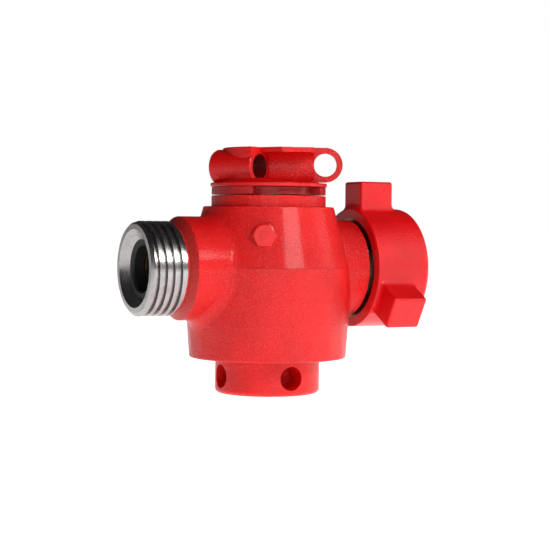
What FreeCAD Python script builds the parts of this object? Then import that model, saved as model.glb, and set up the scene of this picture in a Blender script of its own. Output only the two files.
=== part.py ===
import FreeCAD, Part
import math
import os
import re

import Sketcher
from FreeCAD import Placement, Rotation, Vector

# A forged plug valve with hammer union ends.  The origin is the centre of the adjusting nut's
# bottom face, +Z runs up the plug's axis and +X along the flow towards the wing nut.

doc = FreeCAD.newDocument("plug_valve")
sheet = doc.addObject("Spreadsheet::Sheet", "Sizes")

# Driving dimensions in millimetres or degrees.
DRIVING = [
    # flow line
    ("flow_axis_height", 135.3, "flow axis above the base"),
    ("flow_bore_radius", 22.2, "clear bore"),
    # barrel of the body
    ("nut_exposed_height", 38.5, "adjusting nut showing below the body"),
    ("barrel_foot_radius", 85.3, "barrel at its bottom"),
    ("barrel_radius", 88.0, "barrel at the flow axis"),
    ("draft_height", 37.5, "drafted part of the barrel"),
    ("shoulder_above_axis", 1.7, "start of the cone above the flow axis"),
    ("cone_height", 64.8, "height of the cone"),
    ("cone_top_radius", 70.9, "cone at its top"),
    ("collar_radius", 62.2, "collar below the stop plate"),
    ("collar_height", 11.8, "height of the collar"),
    ("barrel_edge_fillet", 2.0, "round on the barrel's bottom edge"),
    ("collar_edge_fillet", 0.8, "round on the collar's top edge"),
    ("cone_edge_fillet", 1.5, "round on the edge under the collar"),
    ("neck_edge_fillet", 1.6, "round on the edge of each neck's end face"),
    # cavity of the body
    ("roof_thickness", 16.6, "metal above the cavity"),
    ("cavity_foot_radius", 54.0, "tapered cavity at the nut"),
    ("cavity_roof_radius", 48.0, "tapered cavity at the roof"),
    # inlet end
    ("inlet_length", 157.5, "plug axis to the inlet's end"),
    ("inlet_neck_radius", 55.2, "neck of the inlet"),
    ("inlet_neck_length", 107.5, "plug axis to the neck's edge"),
    ("inlet_shoulder_depth", 7.0, "length of the sloped shoulder"),
    ("thread_radius", 50.0, "outside of the union thread"),
    ("thread_pitch", 8.467, "pitch of the union thread"),
    ("thread_depth", 3.8, "depth of the union thread"),
    ("thread_root_width", 2.7, "width of the groove's floor"),
    ("thread_flank_run", 1.0, "sideways run of each flank"),
    ("thread_relief_length", 5.0, "plain length behind the thread"),
    ("thread_end_chamfer", 3.4, "chamfer on the thread's first turn"),
    ("seat_mouth_radius", 41.2, "inlet seat at its mouth"),
    ("seat_floor_radius", 31.0, "inlet seat at the seal"),
    ("seat_depth", 8.5, "depth of the conical seat"),
    ("inlet_seal_depth", 12.5, "length of the inlet seal"),
    ("inlet_seal_inner_radius", 24.6, "inside of the inlet seal"),
    ("backup_ring_thickness", 2.2, "ring behind the inlet seal"),
    # outlet end
    ("outlet_neck_radius", 52.9, "neck of the outlet"),
    ("outlet_neck_length", 97.4, "plug axis to the neck's face"),
    ("tail_radius", 38.0, "tail that the union segments slide on"),
    ("tail_length", 38.0, "length of that tail"),
    ("nose_radius", 44.5, "collar at the front of the tail"),
    ("outlet_length", 172.0, "plug axis to the nose's end"),
    ("nose_cone_length", 13.0, "length of the nose's cone"),
    ("nose_tip_radius", 31.5, "nose at its end"),
    # plug
    ("plug_radius", 38.0, "plug that carries the cross bore"),
    ("stem_radius", 25.0, "upper stem"),
    ("trunnion_radius", 22.0, "lower trunnion"),
    ("trunnion_length", 34.0, "trunnion below the plug"),
    ("square_width", 25.4, "square on the stem, across flats"),
    ("square_height", 31.0, "square above the collar"),
    ("square_chamfer", 1.5, "chamfer on the square's corners"),
    # segments and rings inside
    ("seal_segment_span", 104.0, "angle of a seal segment"),
    ("side_segment_span", 68.0, "angle of a side segment"),
    ("face_seal_radius", 31.0, "outside of a face seal"),
    ("face_seal_width", 4.0, "width of a face seal"),
    ("face_seal_depth", 5.0, "depth of a face seal"),
    ("seat_ring_thickness", 8.0, "ring between the nut and the segments"),
    ("thrust_ring_thickness", 5.0, "ring above the plug"),
    ("ring_section", 4.0, "section of the stem and nut seals"),
    # adjusting nut
    ("nut_radius", 56.8, "plain skirt of the adjusting nut"),
    ("nut_engaged_height", 30.0, "nut inside the body"),
    ("nut_thread_depth", 2.4, "ridge height of the nut's thread"),
    ("nut_thread_pitch", 6.0, "spacing of the ridges"),
    ("nut_ridge_width", 2.6, "width of a ridge"),
    ("trunnion_pocket_depth", 30.0, "pocket in the nut for the trunnion"),
    ("bar_hole_radius", 12.8, "radial hole for a bar"),
    ("bar_hole_height", 19.2, "radial hole above the base"),
    ("bar_hole_depth", 30.0, "depth of a radial hole"),
    ("nut_edge_fillet", 5.0, "round on the nut's bottom edge"),
    # stop plate and pin
    ("plate_radius", 62.0, "stop plate"),
    ("plate_gap", 1.2, "gap between the collar and the plate"),
    ("plate_thickness", 7.8, "stop plate"),
    ("plate_notch_depth", 11.2, "depth of the notches in the rim"),
    ("front_notch_start", 226.6, "front notch, first angle from +X"),
    ("front_notch_end", 305.2, "front notch, last angle from +X"),
    ("turn_angle", 90.0, "turn of the plug"),
    ("stop_pin_radius", 4.0, "stop pin"),
    ("stop_pin_orbit", 56.2, "stop pin from the plug's axis"),
    ("stop_pin_depth", 9.0, "stop pin in the collar"),
    ("stop_margin", 0.6, "angle left between the pin and the notch"),
    # cap
    ("cap_gap", 0.5, "gap between the plate and the cap"),
    ("cap_flange_radius", 63.3, "cap flange"),
    ("cap_flange_height", 4.2, "cap flange"),
    ("cap_edge_fillet", 1.2, "round on the edges of the cap"),
    ("cap_flare_radius", 56.0, "foot of the hub's flare"),
    ("cap_flare_height", 4.5, "height of the hub's flare"),
    ("cap_hub_radius", 50.0, "hub of the cap"),
    ("cap_height", 41.9, "cap, flange to top"),
    ("socket_angle", -60.0, "direction of the bar socket from +X"),
    ("socket_offset", 33.0, "socket axis from the plug's axis"),
    ("socket_above_flange", 20.8, "socket axis above the cap's underside"),
    ("socket_bore_radius", 13.75, "bar socket"),
    ("socket_outer_radius", 19.2, "barrel round the bar socket"),
    ("socket_back", 45.0, "socket behind the plug's axis"),
    ("socket_mouth", 9.6, "socket in front of the plug's axis"),
    ("eye_angle", -27.4, "direction of the lock eye from +X"),
    ("eye_distance", 61.2, "lock eye from the plug's axis"),
    ("eye_above_flange", 24.4, "lock eye above the cap's underside"),
    ("eye_outer_radius", 18.8, "lock eye, outside"),
    ("eye_hole_radius", 12.5, "lock eye, hole"),
    ("eye_thickness", 10.0, "lock eye plate"),
    ("guide_front", 41.0, "front of the bar guide from the plug's axis"),
    ("guide_groove_radius", 16.0, "round floor of the channel along the bar guide"),
    ("guide_groove_centre", 33.0, "channel's round floor, from the plug's axis"),
    ("guide_end", 48.2, "end of the bar guide from the plug's axis"),
    ("screw_radius", 6.0, "cap screw shank"),
    ("screw_length", 30.0, "cap screw below its head"),
    ("screw_head_radius", 9.0, "cap screw head"),
    ("screw_head_height", 8.0, "cap screw head"),
    ("screw_socket_width", 10.0, "hexagon socket, across flats"),
    ("screw_socket_depth", 5.0, "hexagon socket"),
    ("washer_radius", 12.0, "cap washer"),
    ("washer_thickness", 2.5, "cap washer"),
    ("counterbore_radius", 13.5, "recess for the cap screw"),
    ("cap_roof_thickness", 6.0, "metal between the square and the recess"),
    # grease fitting
    ("fitting_angle", 240.0, "direction of the grease fitting from +X"),
    ("fitting_above_axis", 36.1, "grease fitting above the flow axis"),
    ("fitting_width", 22.5, "hexagon, across flats"),
    ("fitting_reach", 5.5, "hexagon beyond the cone's surface"),
    ("fitting_seat", 9.2, "hexagon from its seat to its face"),
    ("fitting_shank_radius", 7.0, "shank of the fitting"),
    ("fitting_shank_length", 15.0, "shank in the body"),
    ("fitting_nub_radius", 3.4, "nub on the hexagon's face"),
    ("fitting_nub_height", 1.6, "nub on the hexagon's face"),
    ("grease_hole_radius", 2.0, "grease passage"),
    ("check_ball_radius", 3.2, "check ball"),
    # wing nut
    ("wing_rear", 101.6, "plug axis to the wing nut's rear face"),
    ("wing_length", 66.4, "length of the wing nut"),
    ("wing_radius", 66.0, "body of the wing nut"),
    ("wing_rear_fillet", 1.5, "round on the rear edge"),
    ("wing_front_fillet", 7.0, "round on the front edge"),
    ("wing_pocket_radius", 55.0, "rear pocket for the segments"),
    ("wing_pocket_depth", 12.5, "depth of the rear pocket"),
    ("wing_lip_length", 7.0, "plain bore in front of the pocket"),
    ("lug_setback", 4.4, "lug behind the nut's rear face"),
    ("lug_length", 41.0, "lug along the flow axis"),
    ("lug_width", 37.5, "lug across"),
    ("lug_reach", 96.0, "lug tip from the flow axis"),
    ("lug_fillet", 3.0, "round on the lug's edges"),
    ("lug_root_fillet", 9.0, "round at the lug's root"),
    ("snap_ring_width", 3.2, "snap ring"),
    ("snap_ring_radius", 56.5, "snap ring outside"),
    ("snap_ring_inner_radius", 50.0, "snap ring inside"),
    ("segment_length", 7.0, "union segment along the flow axis"),
    ("segment_cut_angle", 4.0, "gap between two union segments"),
    # clearances
    ("clearance", 0.3, "between moving faces"),
    ("fit_clearance", 0.05, "between fixed faces"),
]

# Heights and lengths that follow from the driving ones.
DERIVED = [
    ("draft_top", "nut_exposed_height + draft_height"),
    ("cone_bottom", "flow_axis_height + shoulder_above_axis"),
    ("cone_top", "cone_bottom + cone_height"),
    ("collar_top", "cone_top + collar_height"),
    ("cavity_roof", "collar_top - roof_thickness"),
    ("nut_top", "nut_exposed_height + nut_engaged_height"),
    ("nut_bore_radius", "nut_radius + clearance"),
    ("seat_ring_bottom", "nut_top + clearance"),
    ("segment_bottom", "seat_ring_bottom + seat_ring_thickness"),
    ("segment_top", "cavity_roof - clearance"),
    ("plug_bottom", "segment_bottom + clearance"),
    ("plug_top", "cavity_roof - thrust_ring_thickness - 2 * clearance"),
    ("cavity_slope", "(cavity_foot_radius - cavity_roof_radius) / (cavity_roof - nut_top)"),
    ("square_top", "collar_top + square_height"),
    ("plate_bottom", "collar_top + plate_gap"),
    ("plate_top", "plate_bottom + plate_thickness"),
    ("cap_bottom", "plate_top + cap_gap"),
    ("cap_top", "cap_bottom + cap_height"),
    ("socket_height", "cap_bottom + socket_above_flange"),
    ("eye_height", "cap_bottom + eye_above_flange"),
    ("guide_floor", "cap_bottom + cap_flange_height + cap_flare_height"),
    ("inlet_root_fillet",
     "1.2 * (cone_top - cone_edge_fillet - flow_axis_height - inlet_neck_radius)"),
    ("outlet_root_fillet", "0.6 * (outlet_neck_length - barrel_radius)"),
    ("recess_floor", "square_top + clearance + cap_roof_thickness"),
    ("screw_seat", "recess_floor + washer_thickness"),
    ("seat_x", "inlet_length - seat_depth"),
    ("seal_end_x", "seat_x - inlet_seal_depth"),
    ("backup_end_x", "seal_end_x - backup_ring_thickness"),
    ("shoulder_end_x", "inlet_neck_length + inlet_shoulder_depth"),
    ("relief_radius", "thread_radius - thread_depth"),
    ("thread_start_x", "shoulder_end_x + thread_relief_length"),
    ("fitting_height", "flow_axis_height + fitting_above_axis"),
    ("cone_slope", "(barrel_radius - cone_top_radius) / cone_height"),
    ("fitting_face", "barrel_radius - cone_slope * (fitting_height - cone_bottom) + fitting_reach"),
    ("wing_front", "wing_rear + wing_length"),
    ("pocket_end", "wing_rear + wing_pocket_depth"),
    ("wing_bore_radius", "thread_radius - thread_depth + clearance"),
    ("snap_ring_start", "wing_rear + 1"),
    ("snap_ring_end", "snap_ring_start + snap_ring_width"),
    ("union_segment_start", "snap_ring_end + clearance"),
]


def fill_sheet():
    row = 1
    for alias, value, meaning in DRIVING:
        sheet.set(f"A{row}", meaning)
        sheet.set(f"B{row}", str(value))
        sheet.setAlias(f"B{row}", alias)
        row += 1
    for alias, formula in DERIVED:
        sheet.set(f"A{row}", formula)
        sheet.set(f"B{row}", "=" + formula)
        sheet.setAlias(f"B{row}", alias)
        row += 1
    doc.recompute()


ALIASES = {entry[0] for entry in DRIVING} | {entry[0] for entry in DERIVED}


def formula(text):
    """An expression with each size's name written the way a bound property needs it."""
    def point_to_sheet(match):
        word = match.group()
        return "Sizes." + word if word in ALIASES else word
    return re.sub(r"[A-Za-z_][A-Za-z0-9_]*", point_to_sheet, str(text))


def number(text):
    """The value of an expression at present."""
    result = sheet.evalExpression(formula(text))
    return float(getattr(result, "Value", result))


def origin_feature(body, role):
    for feature in body.Origin.OriginFeatures:
        if feature.Role == role:
            return feature
    raise RuntimeError("no origin feature " + role)


def new_body(label):
    body = doc.addObject("PartDesign::Body", label)
    body.Label = label
    return body


def new_sketch(body, name, plane, base=("0", "0", "0"), turn="0"):
    """A sketch on one of the body's own origin planes, moved by base and turned about its Z in space."""
    sketch = body.newObject("Sketcher::SketchObject", name)
    sketch.AttachmentSupport = [(origin_feature(body, plane), "")]
    sketch.MapMode = "FlatFace"
    upright = Vector(0, 0, 1) if plane == "XY_Plane" else Vector(0, 1, 0)
    place = Vector(*[number(part) for part in base])
    sketch.AttachmentOffset = Placement(place, Rotation(upright, number(turn)))
    for letter, part in zip("xyz", base):
        if part != "0":
            sketch.setExpression("AttachmentOffset.Base." + letter, formula(part))
    if turn != "0":
        sketch.setExpression("AttachmentOffset.Rotation.Angle", formula(turn))
    return sketch


def add_outline(sketch, points):
    """A closed outline of straight lines, with every corner placed from the sheet."""
    corners = [Vector(number(across), number(up), 0) for across, up in points]
    first = sketch.GeometryCount
    count = len(corners)
    for index, corner in enumerate(corners):
        sketch.addGeometry(Part.LineSegment(corner, corners[(index + 1) % count]), False)
    for index in range(count):
        this = first + index
        following = first + (index + 1) % count
        sketch.addConstraint(Sketcher.Constraint("Coincident", this, 2, following, 1))
    for index, (across, up) in enumerate(points):
        this = first + index
        place = sketch.addConstraint(
            Sketcher.Constraint("DistanceX", -1, 1, this, 1, corners[index].x))
        sketch.setExpression(f"Constraints[{place}]", formula(across))
        place = sketch.addConstraint(
            Sketcher.Constraint("DistanceY", -1, 1, this, 1, corners[index].y))
        sketch.setExpression(f"Constraints[{place}]", formula(up))


def add_circle(sketch, across, up, radius):
    centre = Vector(number(across), number(up), 0)
    shape = Part.Circle(centre, Vector(0, 0, 1), number(radius))
    this = sketch.addGeometry(shape, False)
    place = sketch.addConstraint(Sketcher.Constraint("DistanceX", -1, 1, this, 3, centre.x))
    sketch.setExpression(f"Constraints[{place}]", formula(across))
    place = sketch.addConstraint(Sketcher.Constraint("DistanceY", -1, 1, this, 3, centre.y))
    sketch.setExpression(f"Constraints[{place}]", formula(up))
    place = sketch.addConstraint(Sketcher.Constraint("Radius", this, number(radius)))
    sketch.setExpression(f"Constraints[{place}]", formula(radius))


UPRIGHT_AXIS = "V_Axis"
LEVEL_AXIS = "H_Axis"
ON_FLOW_AXIS = ("0", "flow_axis_height", "0")


def revolve(body, name, outlines, axis, base=("0", "0", "0"), turn="0", cut=False):
    """A revolved solid or cut whose outlines are given as places along and away from the axis."""
    sketch = new_sketch(body, name + "_sketch", "XZ_Plane", base, turn)
    for outline in outlines:
        add_outline(sketch, outline)
    kind = "PartDesign::Groove" if cut else "PartDesign::Revolution"
    feature = body.newObject(kind, name)
    feature.Profile = sketch
    feature.ReferenceAxis = (sketch, [axis])
    feature.Angle = 360
    before = volume_of(body)
    doc.recompute()
    check_change(body, name, before, cut)
    return feature


def volume_of(body):
    return 0 if body.Shape.isNull() or not body.Shape.Solids else body.Shape.Volume


def check_change(body, name, before, cut):
    change = volume_of(body) - before
    if abs(change) < 1e-3 or (change > 0) == cut:
        raise RuntimeError(f"{name} changed nothing in {body.Label}")


def extrude(body, name, sketch, length="1", cut=False, through=False, both=False, flip=False):
    """A pad or pocket of a sketch."""
    feature = body.newObject("PartDesign::Pocket" if cut else "PartDesign::Pad", name)
    feature.Profile = sketch
    if through:
        feature.Type = "ThroughAll"
    else:
        feature.Length = number(length)
        feature.setExpression("Length", formula(length))
    feature.Midplane = both
    feature.Reversed = flip
    before = volume_of(body)
    doc.recompute()
    check_change(body, name, before, cut)
    return feature


def soften(body, name, radius, wanted, kind="PartDesign::Fillet"):
    """A fillet or chamfer on every edge of the body that wanted accepts."""
    base = body.Tip
    names = [f"Edge{index + 1}" for index, edge in enumerate(base.Shape.Edges) if wanted(edge)]
    if not names:
        raise RuntimeError(f"{name} found no edge in {body.Label}")
    feature = body.newObject(kind, name)
    feature.Base = (base, names)
    driven = "Radius" if kind == "PartDesign::Fillet" else "Size"
    setattr(feature, driven, number(radius))
    feature.setExpression(driven, formula(radius))
    before = volume_of(body)
    doc.recompute()
    if not feature.isValid() or abs(body.Shape.Volume - before) < 1e-6:
        raise RuntimeError(f"{name} failed in {body.Label}")
    return feature


def circle_at(height, radius, axis=Vector(0, 0, 1)):
    """Tells a level circular edge about the plug's axis by its height and radius."""
    def wanted(edge):
        curve = edge.Curve
        if not isinstance(curve, Part.Circle) or abs(abs(curve.Axis * axis) - 1) > 1e-6:
            return False
        along = curve.Center * axis
        return abs(along - number(height)) < 1e-3 and abs(curve.Radius - number(radius)) < 1e-3
    return wanted


def neck_root(radius, side):
    """Tells the edges where a neck along the flow axis runs into the barrel."""
    def wanted(edge):
        for point in edge.discretize(9):
            off_neck = math.hypot(point.y, point.z - number("flow_axis_height")) - number(radius)
            if abs(off_neck) > 0.05 or point.x * side < 0:
                return False
            if math.hypot(point.x, point.y) > number("barrel_radius") + 0.5:
                return False
        return True
    return wanted


def primitive(kind, name, sizes, place=("0", "0", "0"), axis=Vector(0, 0, 1), turn="0"):
    """A Part primitive whose sizes and place come from the sheet."""
    shape = doc.addObject(kind, name)
    for key, text in sizes.items():
        setattr(shape, key, number(text))
        shape.setExpression(key, formula(text))
    centre = Vector(*[number(part) for part in place])
    shape.Placement = Placement(centre, Rotation(axis, number(turn)))
    for letter, part in zip("xyz", place):
        if part != "0":
            shape.setExpression("Placement.Base." + letter, formula(part))
    if not re.fullmatch(r"-?[0-9.]+", turn):
        shape.setExpression("Placement.Rotation.Angle", formula(turn))
    return shape


def along_x(kind, name, sizes, start, height="flow_axis_height"):
    """A primitive that lies along the flow axis."""
    return primitive(kind, name, sizes, (start, "0", height), Vector(0, 1, 0), "90")


def combine(kind, name, base, tool):
    result = doc.addObject(kind, name)
    result.Base = base
    result.Tool = tool
    return result


NODES = []


def keep(piece, label):
    piece.Label = label
    NODES.append(piece)
    return piece


def ring_outline(inner, outer, bottom, top):
    return [(inner, bottom), (outer, bottom), (outer, top), (inner, top)]


def nut_ridges(inner, outer, extra="0"):
    """Outlines of the ridges that stand for the adjusting nut's thread."""
    outlines = []
    for turn in range(4):
        middle = f"nut_exposed_height + 6 + {turn} * nut_thread_pitch"
        half = f"(nut_ridge_width / 2 + {extra})"
        outlines.append([
            (inner, f"{middle} - {half} - nut_thread_depth * 0.3"),
            (outer, f"{middle} - {half}"),
            (outer, f"{middle} + {half}"),
            (inner, f"{middle} + {half} + nut_thread_depth * 0.3"),
        ])
    return outlines


def thread_profile(body, name, first_x, floor, open_radius):
    """The groove of the union thread, ready to be swept along its helix."""
    sketch = new_sketch(body, name, "XZ_Plane", ON_FLOW_AXIS)
    half = "thread_root_width / 2"
    add_outline(sketch, [
        (f"{first_x} - {half}", floor),
        (f"{first_x} + {half}", floor),
        (f"{first_x} + {half} + thread_flank_run", open_radius),
        (f"{first_x} - {half} - thread_flank_run", open_radius),
    ])
    return sketch


def cut_helix(body, name, sketch, length, flip):
    helix = body.newObject("PartDesign::SubtractiveHelix", name)
    helix.Profile = sketch
    helix.ReferenceAxis = (sketch, [LEVEL_AXIS])
    helix.Mode = 0
    helix.Pitch = number("thread_pitch")
    helix.setExpression("Pitch", formula("thread_pitch"))
    helix.Height = number(length)
    helix.setExpression("Height", formula(length))
    helix.Reversed = flip
    before = volume_of(body)
    doc.recompute()
    check_change(body, name, before, True)
    return helix


def build_body():
    body = new_body("valve_body")
    revolve(body, "barrel", [[
        ("0", "nut_exposed_height"),
        ("barrel_foot_radius", "nut_exposed_height"),
        ("barrel_radius", "draft_top"),
        ("barrel_radius", "cone_bottom"),
        ("cone_top_radius", "cone_top"),
        ("collar_radius", "cone_top"),
        ("collar_radius", "collar_top"),
        ("0", "collar_top"),
    ]], UPRIGHT_AXIS)
    soften(body, "barrel_edge", "barrel_edge_fillet",
           circle_at("nut_exposed_height", "barrel_foot_radius"))
    soften(body, "collar_edge", "collar_edge_fillet", circle_at("collar_top", "collar_radius"))
    soften(body, "cone_edge", "cone_edge_fillet", circle_at("cone_top", "cone_top_radius"))
    revolve(body, "inlet", [[
        ("0", "0"),
        ("0", "inlet_neck_radius"),
        ("-inlet_neck_length", "inlet_neck_radius"),
        ("-shoulder_end_x", "relief_radius"),
        ("-thread_start_x", "relief_radius"),
        ("-thread_start_x - thread_flank_run", "thread_radius"),
        ("thread_end_chamfer - inlet_length", "thread_radius"),
        ("-inlet_length", "thread_radius - thread_end_chamfer"),
        ("-inlet_length", "0"),
    ]], LEVEL_AXIS, ON_FLOW_AXIS)
    soften(body, "inlet_neck_edge", "neck_edge_fillet",
           circle_at("-inlet_neck_length", "inlet_neck_radius", Vector(1, 0, 0)))
    soften(body, "inlet_root", "inlet_root_fillet", neck_root("inlet_neck_radius", -1))
    revolve(body, "outlet", [[
        ("0", "0"),
        ("0", "outlet_neck_radius"),
        ("outlet_neck_length", "outlet_neck_radius"),
        ("outlet_neck_length", "tail_radius"),
        ("outlet_neck_length + tail_length", "tail_radius"),
        ("outlet_neck_length + tail_length", "nose_radius"),
        ("outlet_length - nose_cone_length", "nose_radius"),
        ("outlet_length", "nose_tip_radius"),
        ("outlet_length", "0"),
    ]], LEVEL_AXIS, ON_FLOW_AXIS)
    soften(body, "outlet_root", "outlet_root_fillet", neck_root("outlet_neck_radius", 1))
    revolve(body, "cavity", [[
        ("0", "nut_exposed_height - 5"),
        ("nut_bore_radius", "nut_exposed_height - 5"),
        ("nut_bore_radius", "nut_top"),
        ("cavity_foot_radius", "nut_top"),
        ("cavity_roof_radius", "cavity_roof"),
        ("stem_radius + fit_clearance", "cavity_roof"),
        ("stem_radius + fit_clearance", "collar_top + 5"),
        ("0", "collar_top + 5"),
    ]], UPRIGHT_AXIS, cut=True)
    revolve(body, "nut_thread", nut_ridges(
        "nut_bore_radius - 1", "nut_radius + nut_thread_depth + clearance", "clearance"),
        UPRIGHT_AXIS, cut=True)
    seal_middle = "(cavity_roof + collar_top) / 2"
    revolve(body, "stem_seal_groove", [ring_outline(
        "stem_radius - 1", "stem_radius + ring_section",
        f"{seal_middle} - ring_section / 2", f"{seal_middle} + ring_section / 2")],
        UPRIGHT_AXIS, cut=True)
    revolve(body, "flow_bore", [[
        ("-inlet_length - 5", "0"),
        ("-inlet_length - 5", "seat_mouth_radius"),
        ("-inlet_length", "seat_mouth_radius"),
        ("-seat_x", "seat_floor_radius"),
        ("-backup_end_x", "seat_floor_radius"),
        ("-backup_end_x", "flow_bore_radius"),
        ("outlet_length + 5", "flow_bore_radius"),
        ("outlet_length + 5", "0"),
    ]], LEVEL_AXIS, ON_FLOW_AXIS, cut=True)
    revolve(body, "fitting_hole", [[
        ("stem_radius", "0"),
        ("stem_radius", "grease_hole_radius"),
        ("fitting_face - fitting_seat - fitting_shank_length - 2 * check_ball_radius",
         "grease_hole_radius"),
        ("fitting_face - fitting_seat - fitting_shank_length - 2 * check_ball_radius",
         "check_ball_radius + clearance"),
        ("fitting_face - fitting_seat - fitting_shank_length", "check_ball_radius + clearance"),
        ("fitting_face - fitting_seat - fitting_shank_length", "fitting_shank_radius + fit_clearance"),
        ("fitting_face + 5", "fitting_shank_radius + fit_clearance"),
        ("fitting_face + 5", "0"),
    ]], LEVEL_AXIS, ("0", "fitting_height", "0"), "fitting_angle", cut=True)
    seat = new_sketch(body, "fitting_seat_sketch", "XZ_Plane", (
        "(fitting_face - fitting_seat) * cos(fitting_angle)", "fitting_height",
        "-(fitting_face - fitting_seat) * sin(fitting_angle)"), "fitting_angle - 270")
    add_outline(seat, hexagon_outline("(fitting_width + 2 * fit_clearance)"))
    extrude(body, "fitting_seat", seat, "fitting_seat + 5", cut=True, flip=True)
    pin_sketch = new_sketch(body, "pin_hole_sketch", "XY_Plane", ("0", "0", "collar_top"))
    add_circle(pin_sketch, "0", "stop_pin_orbit", "stop_pin_radius + fit_clearance")
    extrude(body, "pin_hole", pin_sketch, "stop_pin_depth", cut=True)
    profile = thread_profile(body, "inlet_thread_sketch", "-inlet_length - thread_pitch / 2",
                             "relief_radius", "thread_radius + thread_flank_run / thread_depth")
    cut_helix(body, "inlet_thread", profile, "inlet_length - shoulder_end_x - thread_relief_length / 2", False)
    keep(body, "valve_body")


def build_plug():
    plug = new_body("plug")
    revolve(plug, "turned", [[
        ("0", "plug_bottom - trunnion_length"),
        ("trunnion_radius", "plug_bottom - trunnion_length"),
        ("trunnion_radius", "plug_bottom"),
        ("plug_radius", "plug_bottom"),
        ("plug_radius", "plug_top"),
        ("stem_radius", "plug_top"),
        ("stem_radius", "plate_bottom - clearance"),
        ("0", "plate_bottom - clearance"),
    ]], UPRIGHT_AXIS)
    revolve(plug, "cross_bore", [[
        ("-plug_radius - 5", "0"),
        ("-plug_radius - 5", "flow_bore_radius"),
        ("plug_radius + 5", "flow_bore_radius"),
        ("plug_radius + 5", "0"),
    ]], LEVEL_AXIS, ON_FLOW_AXIS, cut=True)
    square = new_sketch(plug, "square_sketch", "XY_Plane",
                        ("0", "0", "plate_bottom - clearance"), "eye_angle")
    add_outline(square, square_outline("square_width / 2"))
    extrude(plug, "square", square, "square_top - plate_bottom + clearance")
    soften(plug, "square_corners", "square_chamfer", upright_edge("plate_bottom", "square_width"),
           "PartDesign::Chamfer")
    revolve(plug, "screw_hole", [[
        ("0", "screw_seat - screw_length - 3"),
        ("screw_radius + fit_clearance", "screw_seat - screw_length - 3"),
        ("screw_radius + fit_clearance", "square_top + 5"),
        ("0", "square_top + 5"),
    ]], UPRIGHT_AXIS, cut=True)
    keep(plug, "plug")


def square_outline(half):
    return [(f"-{half}", f"-{half}"), (half, f"-{half}"), (half, half), (f"-{half}", half)]


def upright_edge(above, width):
    """Tells the upright straight edges at the corners of the stem's square."""
    def wanted(edge):
        ends = [vertex.Point for vertex in edge.Vertexes]
        if len(ends) != 2 or ends[0].distanceToPoint(Vector(ends[1].x, ends[1].y, ends[0].z)) > 1e-6:
            return False
        corner = math.hypot(ends[0].x, ends[0].y)
        return abs(corner - number(width) / math.sqrt(2)) < 1e-3 and max(p.z for p in ends) > number(above)
    return wanted


def build_segments():
    """Tapered segments round the plug: two carry the flow ports, two fill the sides."""
    outer = {
        "Radius1": "cavity_foot_radius - fit_clearance - cavity_slope * (segment_bottom - nut_top)",
        "Radius2": "cavity_foot_radius - fit_clearance - cavity_slope * (segment_top - nut_top)",
        "Height": "segment_top - segment_bottom",
    }
    for label, middle, span, ported in [
        ("seal_segment_inlet", "180", "seal_segment_span", True),
        ("seal_segment_outlet", "0", "seal_segment_span", True),
        ("side_segment_front", "270", "side_segment_span", False),
        ("side_segment_rear", "90", "side_segment_span", False),
    ]:
        start = f"{middle} - {span} / 2"
        wedge = primitive("Part::Cone", label + "_wedge", dict(outer, Angle=span),
                          ("0", "0", "segment_bottom"), turn=start)
        core = primitive("Part::Cylinder", label + "_core", {
            "Radius": "plug_radius + clearance", "Height": "segment_top - segment_bottom + 2"},
            ("0", "0", "segment_bottom - 1"))
        segment = combine("Part::Cut", label + "_shell", wedge, core)
        if ported:
            direction = "1" if middle == "0" else "-1"
            segment = cut_port(label, segment, direction)
        keep(segment, label)


def cut_port(label, segment, direction):
    """The flow port of a seal segment, with the groove of its face seal, and that seal."""
    start = "0" if direction == "1" else "-cavity_foot_radius"
    port = along_x("Part::Cylinder", label + "_port", {
        "Radius": "flow_bore_radius", "Height": "cavity_foot_radius"}, start)
    opened = combine("Part::Cut", label + "_opened", segment, port)
    floor = "(cavity_roof_radius - face_seal_depth)"
    length = f"cavity_foot_radius + 1 - {floor}"
    groove_start = floor if direction == "1" else "-cavity_foot_radius - 1"
    wide = along_x("Part::Cylinder", label + "_groove_outside", {
        "Radius": "face_seal_radius", "Height": length}, groove_start)
    narrow = along_x("Part::Cylinder", label + "_groove_inside", {
        "Radius": "face_seal_radius - face_seal_width", "Height": length}, groove_start)
    groove = combine("Part::Cut", label + "_groove", wide, narrow)
    seal_block = primitive("Part::Cone", label + "_seal_block", {
        "Radius1": "cavity_foot_radius - fit_clearance - cavity_slope * (segment_bottom - nut_top)",
        "Radius2": "cavity_foot_radius - fit_clearance - cavity_slope * (segment_top - nut_top)",
        "Height": "segment_top - segment_bottom"}, ("0", "0", "segment_bottom"))
    seal = combine("Part::Common", label + "_seal", seal_block, groove)
    keep(seal, label.replace("seal_segment", "face_seal"))
    return combine("Part::Cut", label + "_grooved", opened, groove)


def turned_ring(label, inner, outer, bottom, top):
    ring = new_body(label)
    revolve(ring, label + "_turned", [ring_outline(inner, outer, bottom, top)], UPRIGHT_AXIS)
    return keep(ring, label)


def build_rings():
    turned_ring("segment_seat_ring", "trunnion_radius + clearance", "cavity_foot_radius - 2",
                "seat_ring_bottom", "segment_bottom")
    turned_ring("plug_thrust_ring", "stem_radius + clearance", "plug_radius",
                "plug_top + clearance", "cavity_roof - clearance")
    seal_middle = "(cavity_roof + collar_top) / 2"
    turned_ring("stem_seal", "stem_radius + fit_clearance", "stem_radius + ring_section",
                f"{seal_middle} - ring_section / 2", f"{seal_middle} + ring_section / 2")
    seal_middle = "nut_top - trunnion_pocket_depth / 2"
    turned_ring("trunnion_seal", "trunnion_radius + fit_clearance", "trunnion_radius + ring_section",
                f"{seal_middle} - ring_section / 2", f"{seal_middle} + ring_section / 2")


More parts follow.
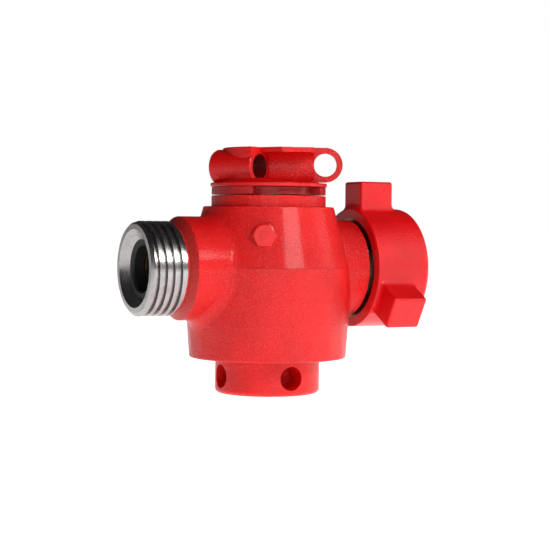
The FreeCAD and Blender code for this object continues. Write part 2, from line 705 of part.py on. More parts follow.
def build_adjusting_nut():
    nut = new_body("adjusting_nut")
    revolve(nut, "turned", [[
        ("0", "0"),
        ("nut_radius", "0"),
        ("nut_radius", "nut_top"),
        ("trunnion_radius + fit_clearance", "nut_top"),
        ("trunnion_radius + fit_clearance", "nut_top - trunnion_pocket_depth"),
        ("0", "nut_top - trunnion_pocket_depth"),
    ]], UPRIGHT_AXIS)
    soften(nut, "foot_edge", "nut_edge_fillet", circle_at("0", "nut_radius"))
    revolve(nut, "thread", nut_ridges("nut_radius - 1", "nut_radius + nut_thread_depth"), UPRIGHT_AXIS)
    seal_middle = "nut_top - trunnion_pocket_depth / 2"
    revolve(nut, "seal_groove", [ring_outline(
        "trunnion_radius - 1", "trunnion_radius + ring_section",
        f"{seal_middle} - ring_section / 2", f"{seal_middle} + ring_section / 2")],
        UPRIGHT_AXIS, cut=True)
    for index in range(4):
        revolve(nut, f"bar_hole_{index + 1}", [[
            ("nut_radius - bar_hole_depth", "0"),
            ("nut_radius - bar_hole_depth", "bar_hole_radius"),
            ("nut_radius + 5", "bar_hole_radius"),
            ("nut_radius + 5", "0"),
        ]], LEVEL_AXIS, ("0", "bar_hole_height", "0"), str(90 * index), cut=True)
    keep(nut, "adjusting_nut")


def notch_outline(start, end):
    """A fan from inside the notch's floor to well outside the plate's rim."""
    inner = "(plate_radius - 2 * plate_notch_depth)"
    steps = 6
    outline = []
    for step in range(steps + 1):
        angle = f"({start} + ({end} - ({start})) * {step} / {steps})"
        outline.append((f"(plate_radius + 8) * cos({angle})", f"(plate_radius + 8) * sin({angle})"))
    for angle in (end, start):
        outline.append((f"{inner} * cos({angle})", f"{inner} * sin({angle})"))
    return outline


def build_stop():
    plate = new_body("stop_plate")
    disc = new_sketch(plate, "disc_sketch", "XY_Plane", ("0", "0", "plate_bottom"))
    add_circle(disc, "0", "0", "plate_radius")
    extrude(plate, "disc", disc, "plate_thickness")
    pin_half = "(asin((stop_pin_radius + clearance) / stop_pin_orbit) / 1 deg + stop_margin)"
    notches = new_sketch(plate, "notch_sketch", "XY_Plane")
    add_outline(notches, notch_outline("front_notch_start", "front_notch_end"))
    add_outline(notches, notch_outline(f"(90 - turn_angle - {pin_half})", f"(90 + {pin_half})"))
    extrude(plate, "notches", notches, cut=True, through=True, both=True)
    core = new_sketch(plate, "core_sketch", "XY_Plane", ("0", "0", "plate_bottom"))
    add_circle(core, "0", "0", "plate_radius - plate_notch_depth")
    extrude(plate, "core", core, "plate_thickness")
    square = new_sketch(plate, "square_sketch", "XY_Plane", turn="eye_angle")
    add_outline(square, square_outline("(square_width / 2 + fit_clearance)"))
    extrude(plate, "square_hole", square, cut=True, through=True, both=True)
    keep(plate, "stop_plate")

    pin = primitive("Part::Cylinder", "stop_pin", {
        "Radius": "stop_pin_radius", "Height": "stop_pin_depth + plate_gap + plate_thickness"},
        ("0", "stop_pin_orbit", "collar_top - stop_pin_depth"))
    keep(pin, "stop_pin")


def build_cap():
    cap = new_body("cap")
    revolve(cap, "hub", [[
        ("0", "cap_bottom"),
        ("cap_flange_radius", "cap_bottom"),
        ("cap_flange_radius", "cap_bottom + cap_flange_height"),
        ("cap_flare_radius", "cap_bottom + cap_flange_height"),
        ("cap_hub_radius", "guide_floor"),
        ("cap_hub_radius", "cap_top"),
        ("0", "cap_top"),
    ]], UPRIGHT_AXIS)
    for name, height, radius in [
        ("flange_foot", "cap_bottom", "cap_flange_radius"),
        ("flange_edge", "cap_bottom + cap_flange_height", "cap_flange_radius"),
        ("hub_edge", "cap_top", "cap_hub_radius"),
    ]:
        soften(cap, name, "cap_edge_fillet", circle_at(height, radius))
    web = new_sketch(cap, "eye_web_sketch", "XZ_Plane", turn="eye_angle")
    add_outline(web, [
        ("cap_hub_radius - 10", "eye_height - eye_outer_radius"),
        ("eye_distance", "eye_height - eye_outer_radius"),
        ("eye_distance", "eye_height + eye_outer_radius"),
        ("cap_hub_radius - 10", "eye_height + eye_outer_radius"),
    ])
    extrude(cap, "eye_web", web, "eye_thickness", both=True)
    eye = new_sketch(cap, "eye_sketch", "XZ_Plane", turn="eye_angle")
    add_circle(eye, "eye_distance", "eye_height", "eye_outer_radius")
    extrude(cap, "eye", eye, "eye_thickness", both=True)
    socket_base = ("socket_offset * sin(socket_angle)", "socket_height",
                   "socket_offset * cos(socket_angle)")
    guide = new_sketch(cap, "guide_sketch", "XY_Plane", ("0", "0", "guide_floor"), "eye_angle")
    add_outline(guide, [
        ("0", "0"),
        ("0", "-guide_front"),
        ("guide_end", "-guide_front"),
        ("guide_end", "0"),
    ])
    extrude(cap, "guide", guide, "cap_top - guide_floor")
    revolve(cap, "socket_barrel", [[
        ("-socket_back", "0"),
        ("-socket_back", "socket_outer_radius - 3"),
        ("-socket_back + 1", "socket_outer_radius - 1"),
        ("-socket_back + 3", "socket_outer_radius"),
        ("socket_mouth - 1", "socket_outer_radius"),
        ("socket_mouth", "socket_outer_radius - 1"),
        ("socket_mouth", "0"),
    ]], LEVEL_AXIS, socket_base, "socket_angle")
    revolve(cap, "socket", [[
        ("-socket_back - 5", "0"),
        ("-socket_back - 5", "socket_bore_radius"),
        ("socket_mouth", "socket_bore_radius"),
        ("socket_mouth", "guide_groove_radius"),
        ("cap_flange_radius", "guide_groove_radius"),
        ("cap_flange_radius", "0"),
    ]], LEVEL_AXIS, socket_base, "socket_angle", cut=True)
    clearing = new_sketch(cap, "clearing_sketch", "XZ_Plane",
                          (socket_base[0], "0", socket_base[2]), "socket_angle")
    add_outline(clearing, [
        ("socket_mouth", "guide_floor"),
        ("cap_flange_radius", "guide_floor"),
        ("cap_flange_radius", "cap_top + 5"),
        ("socket_mouth", "cap_top + 5"),
    ])
    extrude(cap, "clearing", clearing, "cap_flange_radius", cut=True, flip=True)
    revolve(cap, "guide_groove", [[
        ("0", "0"),
        ("0", "guide_groove_radius"),
        ("guide_end + 5", "guide_groove_radius"),
        ("guide_end + 5", "0"),
    ]], LEVEL_AXIS, ("-guide_groove_centre * sin(-eye_angle)", "socket_height",
                     "guide_groove_centre * cos(eye_angle)"), "eye_angle", cut=True)
    channel = new_sketch(cap, "guide_channel_sketch", "XY_Plane",
                         ("0", "0", "socket_height - guide_groove_radius"), "eye_angle")
    add_outline(channel, [
        ("0", "-guide_groove_centre"),
        ("0", "-guide_front - 5"),
        ("guide_end + 5", "-guide_front - 5"),
        ("guide_end + 5", "-guide_groove_centre"),
    ])
    extrude(cap, "guide_channel", channel, "2 * guide_groove_radius", cut=True, flip=True)
    eye_hole = new_sketch(cap, "eye_hole_sketch", "XZ_Plane", turn="eye_angle")
    add_circle(eye_hole, "eye_distance", "eye_height", "eye_hole_radius")
    extrude(cap, "eye_hole", eye_hole, cut=True, through=True, both=True)
    square = new_sketch(cap, "square_sketch", "XY_Plane", ("0", "0", "cap_bottom"), "eye_angle")
    add_outline(square, square_outline("(square_width / 2 + fit_clearance)"))
    extrude(cap, "square_hole", square, "square_top + clearance - cap_bottom", cut=True, flip=True)
    revolve(cap, "recess", [[
        ("0", "cap_bottom - 1"),
        ("screw_radius + clearance", "cap_bottom - 1"),
        ("screw_radius + clearance", "recess_floor"),
        ("counterbore_radius", "recess_floor"),
        ("counterbore_radius", "cap_top + 5"),
        ("0", "cap_top + 5"),
    ]], UPRIGHT_AXIS, cut=True)
    keep(cap, "cap")

    turned_ring("cap_washer", "screw_radius + clearance", "washer_radius", "recess_floor", "screw_seat")
    screw = new_body("cap_screw")
    revolve(screw, "turned", [[
        ("0", "screw_seat - screw_length"),
        ("screw_radius", "screw_seat - screw_length"),
        ("screw_radius", "screw_seat"),
        ("screw_head_radius", "screw_seat"),
        ("screw_head_radius", "screw_seat + screw_head_height"),
        ("0", "screw_seat + screw_head_height"),
    ]], UPRIGHT_AXIS)
    key = new_sketch(screw, "key_sketch", "XY_Plane", ("0", "0", "screw_seat + screw_head_height"))
    add_outline(key, hexagon_outline("screw_socket_width"))
    extrude(screw, "key", key, "screw_socket_depth", cut=True)
    keep(screw, "cap_screw")


def hexagon_outline(width):
    return [(f"{width} / 2 / cos(30) * cos({60 * side})", f"{width} / 2 / cos(30) * sin({60 * side})")
            for side in range(6)]


def build_grease_fitting():
    """The fitting is made lying along +X of its own frame, then turned to its place."""
    fitting = new_body("grease_fitting")
    start = "fitting_face - fitting_seat"
    head = new_sketch(fitting, "head_sketch", "YZ_Plane", ("0", "fitting_height", start))
    add_outline(head, hexagon_outline("fitting_width"))
    extrude(fitting, "head", head, "fitting_seat")
    revolve(fitting, "shank", [[
        (f"{start} - fitting_shank_length + 1", "grease_hole_radius"),
        (f"{start} - fitting_shank_length + 1", "fitting_shank_radius"),
        (start, "fitting_shank_radius"),
        (start, "grease_hole_radius"),
    ]], LEVEL_AXIS, ("0", "fitting_height", "0"))
    revolve(fitting, "face_chamfer", [[
        ("fitting_face + 1", "fitting_width / 2 - 1"),
        ("fitting_face + 1", "fitting_width"),
        ("fitting_face - (fitting_width / 2 + 1) * 0.4", "fitting_width"),
        ("fitting_face", "fitting_width / 2 - 1"),
    ]], LEVEL_AXIS, ("0", "fitting_height", "0"), cut=True)
    revolve(fitting, "nub", [[
        ("fitting_face - 1", "0"),
        ("fitting_face - 1", "fitting_nub_radius"),
        ("fitting_face + fitting_nub_height", "fitting_nub_radius"),
        ("fitting_face + fitting_nub_height", "0"),
    ]], LEVEL_AXIS, ("0", "fitting_height", "0"))
    fitting.Placement = Placement(Vector(0, 0, 0), Rotation(Vector(0, 0, 1), number("fitting_angle")))
    fitting.setExpression("Placement.Rotation.Angle", formula("fitting_angle"))
    keep(fitting, "grease_fitting")
    ball_reach = f"({start} - fitting_shank_length - check_ball_radius + 1 - clearance)"
    ball = primitive("Part::Sphere", "grease_check_ball", {"Radius": "check_ball_radius"},
                     (f"{ball_reach} * cos(fitting_angle)", f"{ball_reach} * sin(fitting_angle)",
                      "fitting_height"))
    keep(ball, "grease_check_ball")


def lying_ring(label, outlines):
    ring = new_body(label)
    revolve(ring, label + "_turned", outlines, LEVEL_AXIS, ON_FLOW_AXIS)
    return keep(ring, label)


def build_inlet_seal():
    lying_ring("inlet_seal", [[
        ("-seat_x", "inlet_seal_inner_radius + 1.5"),
        ("-seat_x", "seat_floor_radius - fit_clearance"),
        ("-seal_end_x", "seat_floor_radius - fit_clearance"),
        ("-seal_end_x", "inlet_seal_inner_radius"),
        ("-seat_x + 2", "inlet_seal_inner_radius"),
    ]])
    lying_ring("inlet_backup_ring", [[
        ("-seal_end_x", "flow_bore_radius + clearance"),
        ("-seal_end_x", "seat_floor_radius - fit_clearance"),
        ("-backup_end_x", "seat_floor_radius - fit_clearance"),
        ("-backup_end_x", "flow_bore_radius + clearance"),
    ]])


def build_union():
    nut = new_body("wing_nut")
    revolve(nut, "turned", [[
        ("wing_rear", "wing_pocket_radius"),
        ("wing_rear", "wing_radius"),
        ("wing_front", "wing_radius"),
        ("wing_front", "wing_bore_radius"),
        ("pocket_end", "wing_bore_radius"),
        ("pocket_end", "wing_pocket_radius"),
    ]], LEVEL_AXIS, ON_FLOW_AXIS)
    soften(nut, "front_edge", "wing_front_fillet", lying_circle("wing_front", "wing_radius"))
    soften(nut, "rear_edge", "wing_rear_fillet", lying_circle("wing_rear", "wing_radius"))
    lug = new_sketch(nut, "lug_sketch", "YZ_Plane", ("0", "flow_axis_height", "wing_rear + lug_setback"))
    add_outline(lug, [
        ("-lug_width / 2", "wing_radius - 10"),
        ("lug_width / 2", "wing_radius - 10"),
        ("lug_width / 2", "lug_reach"),
        ("-lug_width / 2", "lug_reach"),
    ])
    pad = extrude(nut, "lug", lug, "lug_length")
    lugs = nut.newObject("PartDesign::PolarPattern", "lugs")
    lugs.Originals = [pad]
    lugs.Axis = (lug, ["N_Axis"])
    lugs.Angle = 360
    lugs.Occurrences = 3
    nut.Tip = lugs
    before = volume_of(nut)
    doc.recompute()
    check_change(nut, "lugs", before, False)
    soften(nut, "lug_edges", "lug_fillet", lug_outer_edge)
    soften(nut, "lug_roots", "lug_root_fillet", lug_root_edge)
    revolve(nut, "snap_ring_groove", [ring_lying(
        "snap_ring_start - clearance / 2", "snap_ring_end + clearance / 2",
        "wing_pocket_radius - 1", "snap_ring_radius + clearance")],
        LEVEL_AXIS, ON_FLOW_AXIS, cut=True)
    profile = thread_profile(nut, "wing_thread_sketch", "wing_front + thread_pitch / 2",
                             "thread_radius + clearance", "wing_bore_radius - 0.3")
    cut_helix(nut, "wing_thread", profile,
              "wing_length - wing_pocket_depth - wing_lip_length + thread_pitch / 2", True)
    keep(nut, "wing_nut")

    lying_ring("union_snap_ring", [ring_lying(
        "snap_ring_start", "snap_ring_end", "snap_ring_inner_radius", "snap_ring_radius")])
    for index in range(3):
        build_union_segment(f"union_segment_{index + 1}", index)


def ring_lying(start, end, inner, outer):
    return [(start, inner), (end, inner), (end, outer), (start, outer)]


def flow_radius(point):
    return math.hypot(point.y, point.z - number("flow_axis_height"))


def lying_circle(along, radius):
    """Tells a circular edge about the flow axis by its place and radius."""
    def wanted(edge):
        curve = edge.Curve
        if not isinstance(curve, Part.Circle) or abs(abs(curve.Axis.x) - 1) > 1e-6:
            return False
        centred = flow_radius(curve.Center) < 1e-3
        near = abs(curve.Center.x - number(along)) < 1e-3
        return centred and near and abs(curve.Radius - number(radius)) < 1e-3
    return wanted


def lug_root_edge(edge):
    """The edges where a lug's sides and ends meet the round of the wing nut."""
    ends = [vertex.Point for vertex in edge.Vertexes]
    if len(ends) != 2 or max(end.x for end in ends) > number("wing_front") - 1:
        return False
    return all(abs(flow_radius(end) - number("wing_radius")) < 1e-3 and
               end.x > number("wing_rear") + 1 for end in ends)


def lug_outer_edge(edge):
    """The edges of a lug's tip and its four edges that run out from the nut."""
    ends = [vertex.Point for vertex in edge.Vertexes]
    tip = number("lug_reach")
    if len(ends) != 2 or any(abs(end.x - number("wing_front")) < 1e-3 for end in ends):
        return False
    return any(flow_radius(end) > tip - 1e-3 for end in ends)


def build_union_segment(label, index):
    """One third of the split ring that holds the wing nut on the tail of the body."""
    span = "120 - segment_cut_angle"
    height = "segment_length"
    outer = along_x("Part::Cylinder", label + "_outer", {
        "Radius": "wing_pocket_radius - clearance", "Height": height, "Angle": span},
        "union_segment_start")
    inner = along_x("Part::Cylinder", label + "_inner", {
        "Radius": "tail_radius + clearance", "Height": "segment_length + 2"},
        "union_segment_start - 1")
    roll = Rotation(Vector(1, 0, 0), 120 * index + number("segment_cut_angle") / 2)
    outer.Placement = Placement(outer.Placement.Base, roll * outer.Placement.Rotation)
    segment = combine("Part::Cut", label, outer, inner)
    keep(segment, label)


def check_and_write():
    doc.recompute()
    for item in doc.Objects:
        if "Invalid" in item.State or "Error" in item.State:
            raise RuntimeError(f"{item.Name} is {item.State}")
    os.makedirs("parts", exist_ok=True)
    for piece in NODES:
        shape = piece.Shape
        if shape.isNull() or not shape.isValid() or not shape.Solids:
            raise RuntimeError(f"{piece.Label} has no valid solid")
        shape.exportStep(f"parts/{piece.Label}.step")
        print(piece.Label, len(shape.Solids), round(shape.Volume / 1000, 2), "cm3")


fill_sheet()
build_body()
build_plug()
build_segments()
build_rings()
build_adjusting_nut()
build_stop()
build_cap()
build_grease_fitting()
build_inlet_seal()
build_union()
check_and_write()
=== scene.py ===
import math

import bmesh
import bpy
from mathutils import Matrix, Vector

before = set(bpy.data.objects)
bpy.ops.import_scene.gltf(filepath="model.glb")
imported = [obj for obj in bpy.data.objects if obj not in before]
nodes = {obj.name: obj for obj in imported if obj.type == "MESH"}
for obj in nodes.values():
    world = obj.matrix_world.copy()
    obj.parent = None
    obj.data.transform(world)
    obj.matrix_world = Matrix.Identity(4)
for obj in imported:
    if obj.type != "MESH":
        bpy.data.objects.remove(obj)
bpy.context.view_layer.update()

scene = bpy.context.scene

FLOW_HEIGHT = 0.1353          # the flow axis above the base
CONE_FOOT = 0.137             # where the barrel turns into the cone
SHOULDER_START = -0.1078      # thin paint on the shoulder behind the thread
THREAD_START = -0.1162        # bare machined steel runs outwards from here, along X
TAIL_START = 0.0976
CAVITY_RADIUS = 0.0605        # inside the collar the casting is machined
BORE_RADIUS = 0.0425
NECK_EDGE = 0.061             # the painted crease shade fades out from here towards the necks
SOCKET = (-0.037579, -0.000912, 0.2439)     # back end of the bar socket's axis
SOCKET_TURN = math.radians(60.0)            # that axis, turned from X towards the front
SOCKET_RADIUS = 0.01375


# ---------------------------------------------------------------- node helpers

def add(tree, kind, inputs=None, **settings):
    """A node with its settings, each input given as a value or as another node's output."""
    made = tree.nodes.new(kind)
    for name, value in settings.items():
        setattr(made, name, value)
    for key, value in (inputs or {}).items():
        if isinstance(value, bpy.types.NodeSocket):
            tree.links.new(value, made.inputs[key])
        else:
            made.inputs[key].default_value = value
    return made


def maths(tree, operation, first, second=0.0):
    return add(tree, "ShaderNodeMath", {0: first, 1: second}, operation=operation).outputs[0]


def length(tree, first, second):
    """The distance that two offsets at right angles make."""
    squares = [maths(tree, "POWER", offset, 2.0) for offset in (first, second)]
    return maths(tree, "SQRT", maths(tree, "ADD", *squares))


def ramp(tree, value, low, high, out_low=0.0, out_high=1.0, smooth=True):
    kind = "SMOOTHSTEP" if smooth else "LINEAR"
    made = add(tree, "ShaderNodeMapRange", {
        "Value": value, "From Min": low, "From Max": high,
        "To Min": out_low, "To Max": out_high}, interpolation_type=kind)
    return made.outputs["Result"]


def blend_colour(tree, share, first, second):
    made = add(tree, "ShaderNodeMix", {0: share, 6: first, 7: second}, data_type="RGBA")
    return made.outputs[2]


def blend_value(tree, share, first, second):
    made = add(tree, "ShaderNodeMix", {0: share, 2: first, 3: second}, data_type="FLOAT")
    return made.outputs[0]


def srgb(red, green, blue):
    """A colour given in display values from 0 to 255, as the linear numbers that a shader takes."""
    def linear(value):
        value = value / 255
        return value / 12.92 if value <= 0.04045 else ((value + 0.055) / 1.055) ** 2.4
    return (linear(red), linear(green), linear(blue), 1.0)


class Finish:
    """One material: its shader, and the coordinates and noises that its patterns read."""

    def __init__(self, name, **fixed):
        self.material = bpy.data.materials.new(name)
        self.material.use_nodes = True
        self.tree = self.material.node_tree
        self.shader = self.tree.nodes["Principled BSDF"]
        for socket, value in fixed.items():
            self.shader.inputs[socket.replace("_", " ")].default_value = value
        self.place = add(self.tree, "ShaderNodeTexCoord").outputs["Object"]

    def scaled(self, x, y, z):
        made = add(self.tree, "ShaderNodeMapping", {"Vector": self.place, "Scale": (x, y, z)})
        return made.outputs["Vector"]

    def noise(self, scale, detail=2.0, roughness=0.5, place=None):
        made = add(self.tree, "ShaderNodeTexNoise", {
            "Vector": place or self.place, "Scale": scale, "Detail": detail,
            "Roughness": roughness})
        return made.outputs["Fac"]

    def axes(self):
        made = add(self.tree, "ShaderNodeSeparateXYZ", {0: self.place})
        return made.outputs[0], made.outputs[1], made.outputs[2]

    def bump(self, height, distance, strength=1.0, under=None):
        inputs = {"Height": height, "Distance": distance, "Strength": strength}
        if under is not None:
            inputs["Normal"] = under
        return add(self.tree, "ShaderNodeBump", inputs).outputs["Normal"]

    def connect(self, **outputs):
        for socket, value in outputs.items():
            self.tree.links.new(value, self.shader.inputs[socket.replace("_", " ")])
        return self.material


# ------------------------------------------------------------------- materials

# `pale` is the painted glint colour of the sand speckles, and `deep` also serves as the painted
# shade in the sand pits.
def enamel_parts(finish, deep, middle, pale, grain_and_glint=1.0):
    """Colour, roughness and normal of red enamel sprayed over a forged skin.

    `grain_and_glint` is how strongly the sand of the forged skin shows through the paint: in the
    bumps, in painted glints on the grains and in painted shade in the pits.
    """
    tree = finish.tree
    patches = finish.noise(18.0, 2.0, 0.5)
    sand = finish.noise(640.0, 2.0, 0.7)
    speckle = finish.noise(1300.0, 2.0, 0.6)
    base = blend_colour(tree, ramp(tree, patches, 0.3, 0.7, 0.25, 1.0), deep, middle)
    # Painted highlight: pale speckles on the sand grains stand in for glints.
    base = blend_colour(tree, ramp(tree, sand, 0.5, 0.68, 0.0, 0.6 * grain_and_glint), base, pale)
    # Painted shade: deep speckles in the sand pits stand in for shade.
    base = blend_colour(tree, ramp(tree, sand, 0.3, 0.47, 0.5 * grain_and_glint, 0.0), base, deep)
    rough = maths(tree, "ADD", ramp(tree, patches, 0.3, 0.7, 0.30, 0.35),
                  ramp(tree, speckle, 0.3, 0.7, -0.04, 0.05))
    hammered = finish.bump(finish.noise(95.0, 2.0, 0.5), 0.00045 * grain_and_glint, 0.35)
    peel = finish.bump(sand, 0.0016 * grain_and_glint, 1.0, hammered)
    skin = finish.bump(speckle, 0.00018 * grain_and_glint, 0.6, peel)
    return base, rough, skin


def steel_parts(finish, across, colour, dull, stain=0.3):
    """Colour, roughness and normal of turned steel. The tool marks repeat along `across`."""
    tree = finish.tree
    lines = {"x": (2600.0, 14.0, 14.0), "z": (14.0, 14.0, 2600.0), "all": (900.0, 900.0, 900.0)}
    marks = finish.noise(1.0, 3.0, 0.65, finish.scaled(*lines[across]))
    cloud = finish.noise(55.0, 4.0, 0.6)
    base = blend_colour(tree, ramp(tree, cloud, 0.42, 0.72, 0.0, stain), colour, dull)
    rough = maths(tree, "ADD", ramp(tree, marks, 0.3, 0.7, 0.16, 0.30),
                  ramp(tree, cloud, 0.4, 0.7, 0.0, 0.12))
    turned = finish.bump(marks, 0.00009, 0.5)
    return base, rough, turned


RED_DEEP = srgb(188, 2, 3)
RED_MIDDLE = srgb(216, 2, 4)
# The pale red is the painted glint colour of the sand speckles.
RED_SAND_GLINT = srgb(244, 44, 44)
RED_WORN = srgb(150, 44, 36)
STEEL = srgb(168, 164, 164)
STEEL_DULL = srgb(112, 107, 105)


def body_finish():
    """Enamel over the forging, and bare steel on the threads, bores, tail and nose."""
    finish = Finish("body_enamel_and_steel", Coat_Roughness=0.14, Specular_IOR_Level=0.3)
    tree = finish.tree
    x, y, z = finish.axes()
    edge = ramp(tree, finish.noise(140.0, 2.0), 0.3, 0.7, -0.0005, 0.0005, smooth=False)
    along = maths(tree, "ADD", x, edge)
    up = maths(tree, "SUBTRACT", z, FLOW_HEIGHT)
    from_flow = length(tree, y, up)
    from_stem = length(tree, x, y)
    thread = maths(tree, "LESS_THAN", along, THREAD_START)
    tail = maths(tree, "GREATER_THAN", along, TAIL_START)
    beyond = maths(tree, "GREATER_THAN", from_stem, CAVITY_RADIUS)
    bore = maths(tree, "MULTIPLY", maths(tree, "LESS_THAN", from_flow, BORE_RADIUS), beyond)
    cavity = maths(tree, "LESS_THAN", from_stem, CAVITY_RADIUS)
    bare = maths(tree, "MAXIMUM", maths(tree, "MAXIMUM", thread, tail),
                 maths(tree, "MAXIMUM", bore, cavity))
    red, red_rough, red_skin = enamel_parts(finish, RED_DEEP, RED_MIDDLE, RED_SAND_GLINT)
    worn = maths(tree, "LESS_THAN", along, SHOULDER_START)
    red = blend_colour(tree, maths(tree, "MULTIPLY", worn, 0.55), red, RED_WORN)
    # Painted shade: the enamel darkens in a thin line along the crease where the barrel turns into
    # the cone.
    from_foot = maths(tree, "SUBTRACT", maths(tree, "ADD", z, edge), CONE_FOOT)
    from_edge = maths(tree, "ABSOLUTE", from_foot)
    crease_shade = maths(tree, "MULTIPLY", ramp(tree, from_edge, 0.0003, 0.0009, 0.45, 0.0),
                   ramp(tree, from_flow, NECK_EDGE, NECK_EDGE + 0.007))
    red = blend_colour(tree, crease_shade, red, srgb(120, 2, 3))
    steel, steel_rough, turned = steel_parts(finish, "x", STEEL, STEEL_DULL)
    skin = add(tree, "ShaderNodeMix", {0: bare, 4: red_skin, 5: turned}, data_type="VECTOR")
    return finish.connect(
        Base_Color=blend_colour(tree, bare, red, steel),
        Metallic=bare,
        Roughness=blend_value(tree, bare, red_rough, steel_rough),
        Coat_Weight=ramp(tree, bare, 0.0, 1.0, 0.14, 0.0, smooth=False),
        Normal=skin.outputs[1])


def cap_finish():
    """Enamel, with painted shade darkening the bore of the bar socket."""
    finish = Finish("cap_enamel", Coat_Weight=0.14, Coat_Roughness=0.12, Specular_IOR_Level=0.3)
    tree = finish.tree
    x, y, z = finish.axes()
    colour, rough, skin = enamel_parts(
        finish, srgb(170, 4, 5), srgb(208, 4, 6), srgb(236, 24, 24), 0.6)
    across_x, across_y = math.sin(SOCKET_TURN), math.cos(SOCKET_TURN)
    sideways = maths(tree, "ADD",
                     maths(tree, "MULTIPLY", maths(tree, "SUBTRACT", x, SOCKET[0]), across_x),
                     maths(tree, "MULTIPLY", maths(tree, "SUBTRACT", y, SOCKET[1]), across_y))
    from_socket = length(tree, sideways, maths(tree, "SUBTRACT", z, SOCKET[2]))
    # Painted shade: the bore of the bar socket is coloured dark red to stand in for the shade in
    # it.
    socket_shade = ramp(tree, from_socket, SOCKET_RADIUS - 0.00005, SOCKET_RADIUS + 0.00025, 0.85, 0.0)
    return finish.connect(
        Base_Color=blend_colour(tree, socket_shade, colour, srgb(60, 6, 8)),
        Roughness=rough, Normal=skin)


# `pale` is the painted glint colour of the sand speckles, and `deep` also serves as the painted
# shade in the sand pits.
def enamel(name, deep, middle, pale, grain_and_glint=1.0, coat=0.14):
    finish = Finish(name, Coat_Weight=coat, Coat_Roughness=0.12, Specular_IOR_Level=0.3)
    colour, rough, skin = enamel_parts(finish, deep, middle, pale, grain_and_glint)
    return finish.connect(Base_Color=colour, Roughness=rough, Normal=skin)


def steel(name, across, colour, dull, stain=0.3):
    finish = Finish(name, Metallic=1.0)
    base, rough, skin = steel_parts(finish, across, colour, dull, stain)
    return finish.connect(Base_Color=base, Roughness=rough, Normal=skin)


def rubber(name):
    finish = Finish(name, Specular_IOR_Level=0.35)
    tree = finish.tree
    bloom = finish.noise(240.0, 3.0, 0.6)
    grit = finish.noise(2200.0, 2.0, 0.6)
    base = blend_colour(tree, ramp(tree, bloom, 0.4, 0.8, 0.0, 0.5),
                        srgb(20, 19, 19), srgb(44, 42, 41))
    return finish.connect(
        Base_Color=base,
        Roughness=ramp(tree, grit, 0.3, 0.7, 0.48, 0.66),
        Normal=finish.bump(grit, 0.00006, 0.6))


finishes = {
    "body": body_finish(),
    "cap": cap_finish(),
    "fitting": enamel("fitting_enamel", srgb(190, 2, 3), srgb(232, 3, 5), srgb(242, 20, 20),
                      0.3, 0.3),
    "wing": enamel("wing_nut_enamel", srgb(182, 2, 8), srgb(214, 3, 12), srgb(232, 16, 24),
                   0.5, 0.12),
    "nut": enamel("adjusting_nut_enamel", RED_DEEP, RED_MIDDLE, RED_SAND_GLINT, 0.7),
    "plate": enamel("stop_plate_enamel", srgb(140, 5, 7), srgb(176, 10, 12), srgb(190, 60, 62),
                    0.8, 0.2),
    "steel_x": steel("turned_steel", "x", STEEL, STEEL_DULL),
    "steel_z": steel("plug_steel", "z", srgb(196, 194, 190), STEEL_DULL),
    "zinc": steel("fastener_zinc", "all", srgb(190, 188, 180), srgb(140, 132, 110), 0.5),
    "snap": steel("snap_ring_phosphate", "x", srgb(150, 122, 88), srgb(96, 76, 56), 0.8),
    "brass": steel("bearing_brass", "z", srgb(206, 164, 84), srgb(140, 104, 52), 0.6),
    "rubber": rubber("seal_rubber"),
}

NODE_FINISH = {
    "valve_body": "body", "adjusting_nut": "nut", "grease_fitting": "fitting",
    "cap": "cap", "wing_nut": "wing", "stop_plate": "plate",
    "plug": "steel_z", "stop_pin": "zinc", "cap_washer": "zinc", "cap_screw": "zinc",
    "grease_check_ball": "zinc", "union_snap_ring": "snap",
    "union_segment_1": "snap", "union_segment_2": "snap", "union_segment_3": "snap",
    "plug_thrust_ring": "brass", "segment_seat_ring": "brass",
    "inlet_backup_ring": "snap",
    "seal_segment_inlet": "steel_z", "seal_segment_outlet": "steel_z",
    "side_segment_front": "steel_z", "side_segment_rear": "steel_z",
    "face_seal_inlet": "rubber", "face_seal_outlet": "rubber", "stem_seal": "rubber",
    "trunnion_seal": "rubber", "inlet_seal": "rubber",
}

for name, node in nodes.items():
    finish = finishes[NODE_FINISH.get(name, "zinc")]
    if not node.material_slots:
        node.data.materials.append(finish)
    for material_slot in node.material_slots:
        material_slot.material = finish


# ----------------------------------------------------------------------- stage

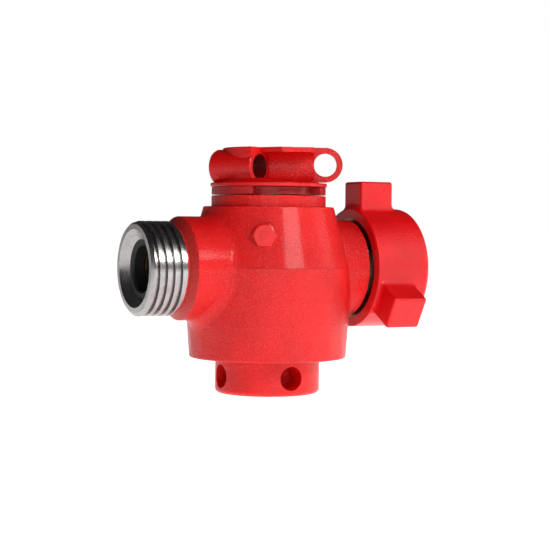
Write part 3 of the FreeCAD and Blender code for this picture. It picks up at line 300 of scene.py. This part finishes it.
def studio():
    """A pale floor that runs on into a pale surround."""
    bm = bmesh.new()
    bmesh.ops.create_grid(bm, x_segments=1, y_segments=1, size=14.0)
    mesh = bpy.data.meshes.new("studio_floor")
    bm.to_mesh(mesh)
    bm.free()
    floor = bpy.data.objects.new("studio_floor", mesh)
    floor.location = (0.0, 0.0, -0.0006)
    scene.collection.objects.link(floor)
    paper = Finish("floor_paper", Specular_IOR_Level=0.2)
    tree = paper.tree
    tone = ramp(tree, paper.noise(3.0, 2.0), 0.3, 0.7)
    colour = blend_colour(tree, tone, srgb(248, 248, 248), srgb(252, 252, 252))
    mesh.materials.append(paper.connect(Base_Color=colour))
    paper.shader.inputs["Roughness"].default_value = 0.9
    paper.shader.inputs["Emission Color"].default_value = (1.0, 1.0, 1.0, 1.0)
    paper.shader.inputs["Emission Strength"].default_value = 1.02
    world = bpy.data.worlds.new("studio")
    world.use_nodes = True
    tree = world.node_tree
    back = tree.nodes["Background"]
    back.inputs["Color"].default_value = (1.0, 1.0, 1.0, 1.0)
    direction = add(tree, "ShaderNodeTexCoord").outputs["Generated"]
    height = add(tree, "ShaderNodeSeparateXYZ", {0: direction}).outputs[2]
    room = ramp(tree, height, 0.05, 0.75, 0.06, 0.03)
    seen = add(tree, "ShaderNodeLightPath").outputs["Is Camera Ray"]
    tree.links.new(blend_value(tree, seen, room, 1.0), back.inputs["Strength"])
    scene.world = world


def softbox(name, place, aim, width, height, power):
    lamp = bpy.data.lights.new(name, "AREA")
    lamp.shape = "RECTANGLE"
    lamp.size = width
    lamp.size_y = height
    lamp.energy = power
    holder = bpy.data.objects.new(name, lamp)
    scene.collection.objects.link(holder)
    holder.location = place
    towards = Vector(aim) - Vector(place)
    holder.rotation_mode = "QUATERNION"
    holder.rotation_quaternion = towards.to_track_quat("-Z", "Y")


def camera():
    azimuth, elevation, roll = (math.radians(a) for a in (-27.591, 1.786, 0.511))
    distance, lens = 1.68669, 101.058
    target = Vector((0.008693, 0.0, 0.127557))
    back = Vector((math.sin(azimuth) * math.cos(elevation),
                   -math.cos(azimuth) * math.cos(elevation), math.sin(elevation)))
    side = (-back).cross(Vector((0.0, 0.0, 1.0))).normalized()
    up = side.cross(-back)
    level = math.cos(roll) * side + math.sin(roll) * up
    upright = -math.sin(roll) * side + math.cos(roll) * up
    data = bpy.data.cameras.new("camera")
    data.lens = lens
    data.sensor_width = 36.0
    data.clip_start = 0.05
    holder = bpy.data.objects.new("camera", data)
    scene.collection.objects.link(holder)
    turn = Matrix((level, upright, back)).transposed()
    holder.matrix_world = Matrix.Translation(target + distance * back) @ turn.to_4x4()
    scene.camera = holder


studio()
softbox("key", (0.35, -1.6, 1.05), (0.0, 0.0, 0.13), 0.8, 0.6, 26.0)
softbox("left", (-1.5, -0.9, 0.35), (0.0, 0.0, 0.13), 0.35, 0.9, 0.8)
softbox("right", (1.5, -0.5, 0.7), (0.0, 0.0, 0.13), 0.7, 1.0, 6.0)
softbox("front_low", (-0.7, -1.6, 0.25), (0.0, 0.0, 0.1), 1.2, 0.35, 2.5)
camera()
scene.view_settings.view_transform = "Standard"
